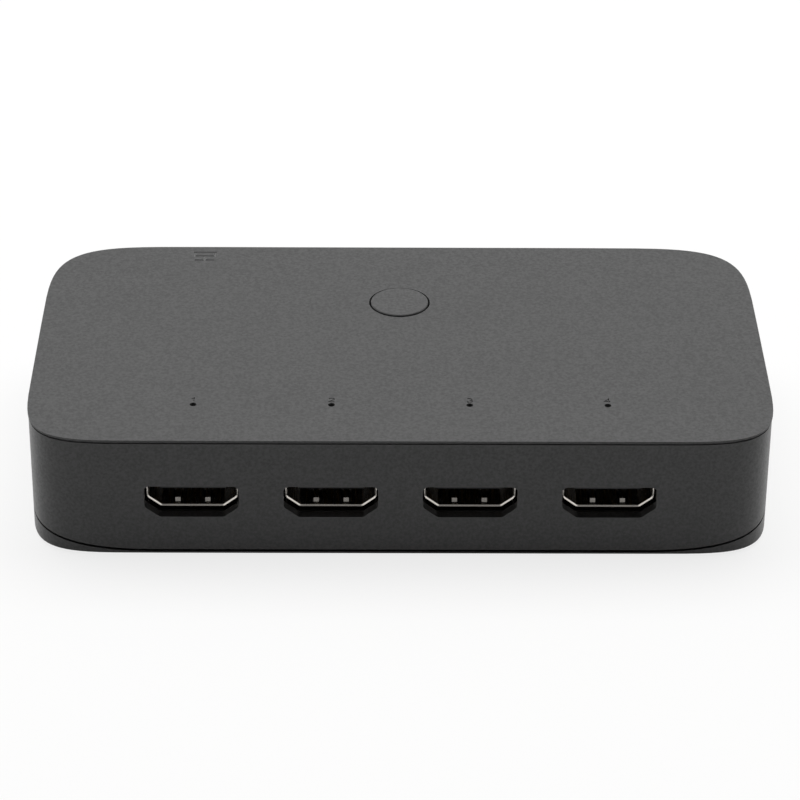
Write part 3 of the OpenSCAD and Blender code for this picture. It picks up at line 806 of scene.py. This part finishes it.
class SWITCHBOX_OT_board(bpy.types.Operator):
    """Finishes the circuit board and what stands on it"""

    bl_idname = "switchbox.board"
    bl_label = "Dress the circuit board"

    def execute(self, context):
        finish = context.scene.switchbox_finish
        laminate = solder_mask_laminate("laminate_black_mask", finish.board)
        epoxy = smooth_moulded(
            "epoxy_moulded_chip", linear("#1b1c1e"), roughness=0.6, ior=1.55, flow=0.12 * MM
        )
        ceramic = smooth_moulded(
            "ceramic_fired_capacitor", linear("#8a7458"), roughness=0.4, ior=1.7, flow=0.2 * MM
        )
        can = plated_metal(
            "aluminium_drawn_can",
            linear("#b4b6b8"),
            roughness=0.3,
            line_width=0.05 * MM,
            line_run=4 * MM,
        )
        steel = plated_metal(
            "steel_nickel_plated_can",
            finish.nickel,
            roughness=0.24,
            line_width=0.08 * MM,
            line_run=3 * MM,
        )
        dress(["circuit_board"], laminate, edge=0.05 * MM)
        dress(["video_chip", "hub_chip", "control_chip"], epoxy, edge=0.06 * MM)
        dress(["board_capacitors"], ceramic, edge=0.08 * MM)
        dress(["filter_capacitor"], can, edge=0.2 * MM)
        dress(["crystal"], steel, edge=0.3 * MM, segments=3)
        return {"FINISHED"}


class SWITCHBOX_OT_feet(bpy.types.Operator):
    """Finishes the rubber feet and the case screws"""

    bl_idname = "switchbox.feet"
    bl_label = "Dress the feet and screws"

    def execute(self, context):
        finish = context.scene.switchbox_finish
        rubber = smooth_moulded(
            "rubber_moulded_foot", finish.rubber, roughness=0.78, ior=1.52, flow=0.3 * MM
        )
        zinc = plated_metal(
            "steel_black_zinc_screw",
            linear("#3a3b3e"),
            roughness=0.38,
            line_width=0.1 * MM,
            line_run=1 * MM,
        )
        dress([f"foot_{i}" for i in INPUTS], rubber, edge=0.15 * MM)
        dress(["case_screws"], zinc, edge=0.08 * MM)
        return {"FINISHED"}


class SWITCHBOX_OT_stage(bpy.types.Operator):
    """Sets up the floor, the lamps, the room light and the camera"""

    bl_idname = "switchbox.stage"
    bl_label = "Set the stage"

    def execute(self, context):
        scene = context.scene
        stage = scene.switchbox_stage
        scene.view_settings.view_transform = "Standard"
        self.add_floor(scene, stage)
        self.add_room(scene, stage)
        for name, spot, size, power in SOFTBOXES:
            self.add_lamp(scene, name, spot, size, getattr(stage, power))
        self.add_camera(scene, stage)
        return {"FINISHED"}

    def add_floor(self, scene, stage):
        """The pale board that the box stands on."""
        mesh = bmesh.new()
        bmesh.ops.create_grid(mesh, x_segments=8, y_segments=8, size=FLOOR_REACH)
        data = bpy.data.meshes.new("studio_floor")
        mesh.to_mesh(data)
        mesh.free()
        floor = bpy.data.objects.new("studio_floor", data)
        scene.collection.objects.link(floor)
        # Matt painted board with fine roller marks. The camera, gloss and glass see it lifted to
        # white, and its own light and shadow stay in the rest. It throws less light back up than
        # white board would.
        roller_mark = 2 * MM
        made, tree = new_material("board_painted_white")
        where = add_node(tree, "ShaderNodeTexCoord").outputs["Object"]
        roller = add_node(
            tree,
            "ShaderNodeTexNoise",
            inputs={"Vector": where, "Scale": 1 / roller_mark, "Detail": 2},
        )
        tone = add_node(
            tree,
            "ShaderNodeMix",
            {"data_type": "RGBA"},
            {0: roller.outputs[0], 6: shade(stage.floor, 0.99), 7: shade(stage.floor, 1.0)},
        )
        seen = self.seen(tree)
        shown_tone = add_node(
            tree,
            "ShaderNodeMix",
            {"data_type": "RGBA"},
            {0: seen, 6: shade(stage.bounce, 1), 7: tone.outputs[2]},
        )
        paint = add_node(
            tree,
            "ShaderNodeBsdfPrincipled",
            inputs={
                "Base Color": shown_tone.outputs[2],
                "Roughness": 0.9,
                "Specular IOR Level": 0.1,
            },
        )
        white = add_node(tree, "ShaderNodeEmission", inputs={"Strength": 1.0})
        lift = add_node(
            tree,
            "ShaderNodeMath",
            {"operation": "MULTIPLY"},
            {0: seen, 1: FLOOR_LIFT},
        )
        shown = add_node(
            tree,
            "ShaderNodeMixShader",
            inputs={0: lift.outputs[0], 1: paint.outputs[0], 2: white.outputs[0]},
        )
        add_node(tree, "ShaderNodeOutputMaterial", inputs={"Surface": shown.outputs[0]})
        data.materials.append(made)

    def seen(self, tree):
        """One for rays from the camera, from gloss and through glass, and nothing for the others."""
        path = add_node(tree, "ShaderNodeLightPath")
        either = add_node(
            tree,
            "ShaderNodeMath",
            {"operation": "MAXIMUM"},
            {0: path.outputs["Is Camera Ray"], 1: path.outputs["Is Glossy Ray"]},
        )
        return add_node(
            tree,
            "ShaderNodeMath",
            {"operation": "MAXIMUM"},
            {0: either.outputs[0], 1: path.outputs["Is Transmission Ray"]},
        ).outputs[0]

    def add_room(self, scene, stage):
        """The light of the room, as the world round the box."""
        world = bpy.data.worlds.new("studio_room")
        world.use_nodes = True
        tree = world.node_tree
        tree.nodes.clear()
        # The room is dim towards the front and bright above and behind.
        where = add_node(tree, "ShaderNodeTexCoord").outputs["Generated"]
        parts = add_node(tree, "ShaderNodeSeparateXYZ", inputs={0: where})
        level = add_node(
            tree,
            "ShaderNodeMapRange",
            inputs={0: parts.outputs["Y"], 1: -0.35, 2: 0.6, 3: 0.02 * stage.room, 4: stage.room},
        )
        light = add_node(
            tree,
            "ShaderNodeBackground",
            inputs={"Color": (1, 1, 1, 1), "Strength": level.outputs[0]},
        )
        # Gloss sees it white behind and at the sides, and dimmer ahead.
        side = add_node(tree, "ShaderNodeMath", {"operation": "ABSOLUTE"}, {0: parts.outputs["X"]})
        turn = add_node(
            tree,
            "ShaderNodeMath",
            {"operation": "MULTIPLY_ADD"},
            {0: parts.outputs["Y"], 1: 0.6, 2: side.outputs[0]},
        )
        gloss = add_node(
            tree,
            "ShaderNodeMapRange",
            inputs={0: turn.outputs[0], 1: -0.45, 2: 0.1, 3: 0.18, 4: 1.0},
        )
        white = add_node(
            tree,
            "ShaderNodeBackground",
            inputs={"Color": (1, 1, 1, 1), "Strength": gloss.outputs[0]},
        )
        shown = add_node(
            tree,
            "ShaderNodeMixShader",
            inputs={0: self.seen(tree), 1: light.outputs[0], 2: white.outputs[0]},
        )
        add_node(tree, "ShaderNodeOutputWorld", inputs={"Surface": shown.outputs[0]})
        scene.world = world

    def add_lamp(self, scene, name, spot, size, power):
        """A softbox that faces the box."""
        data = bpy.data.lights.new(name, "AREA")
        data.shape = "RECTANGLE"
        data.size, data.size_y = size
        data.energy = power
        lamp = bpy.data.objects.new(name, data)
        lamp.location = spot
        lamp.rotation_mode = "QUATERNION"
        lamp.rotation_quaternion = (-Vector(spot)).to_track_quat("-Z", "Y")
        scene.collection.objects.link(lamp)

    def add_camera(self, scene, stage):
        """The camera, turned by its yaw, pitch and roll."""
        data = bpy.data.cameras.new("camera")
        data.lens = stage.lens
        data.sensor_width = 36
        data.clip_start, data.clip_end = 0.01, 20
        camera = bpy.data.objects.new("camera", data)
        level = math.cos(stage.pitch)
        ahead = Vector(
            (math.sin(stage.yaw) * level, math.cos(stage.yaw) * level, -math.sin(stage.pitch))
        )
        right = Vector((math.cos(stage.yaw), -math.sin(stage.yaw), 0))
        up = right.cross(ahead)
        across = right * math.cos(stage.roll) + up * math.sin(stage.roll)
        upright = up * math.cos(stage.roll) - right * math.sin(stage.roll)
        turn = Matrix((across, upright, -ahead)).transposed()
        camera.matrix_world = Matrix.Translation(stage.camera) @ turn.to_4x4()
        scene.collection.objects.link(camera)
        scene.camera = camera


STEPS = (
    SWITCHBOX_OT_marks,
    SWITCHBOX_OT_case,
    SWITCHBOX_OT_strip,
    SWITCHBOX_OT_button,
    SWITCHBOX_OT_sockets,
    SWITCHBOX_OT_lights,
    SWITCHBOX_OT_board,
    SWITCHBOX_OT_feet,
    SWITCHBOX_OT_stage,
)


class VIEW3D_PT_switchbox(bpy.types.Panel):
    """Sizes, colours and steps of the switch box"""

    bl_label = "Switch box"
    bl_space_type = "VIEW_3D"
    bl_region_type = "UI"
    bl_category = "Switch box"

    def draw(self, context):
        for group in ("finish", "marks", "stage"):
            values = getattr(context.scene, f"switchbox_{group}")
            box = self.layout.box()
            box.label(text=group.capitalize())
            for name in values.__annotations__:
                box.prop(values, name)
        for step in STEPS:
            self.layout.operator(step.bl_idname)


GROUPS = {"finish": SwitchBoxFinish, "marks": SwitchBoxMarks, "stage": SwitchBoxStage}


def register():
    for made in (*GROUPS.values(), *STEPS, VIEW3D_PT_switchbox):
        bpy.utils.register_class(made)
    for name, group in GROUPS.items():
        setattr(bpy.types.Scene, f"switchbox_{name}", PointerProperty(type=group))


def unregister():
    for name in GROUPS:
        delattr(bpy.types.Scene, f"switchbox_{name}")
    for made in (VIEW3D_PT_switchbox, *reversed(STEPS), *GROUPS.values()):
        bpy.utils.unregister_class(made)


def main():
    """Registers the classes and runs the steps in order."""
    register()
    for step in STEPS:
        group, name = step.bl_idname.split(".")
        getattr(getattr(bpy.ops, group), name)()


if __name__ == "__main__":
    main()
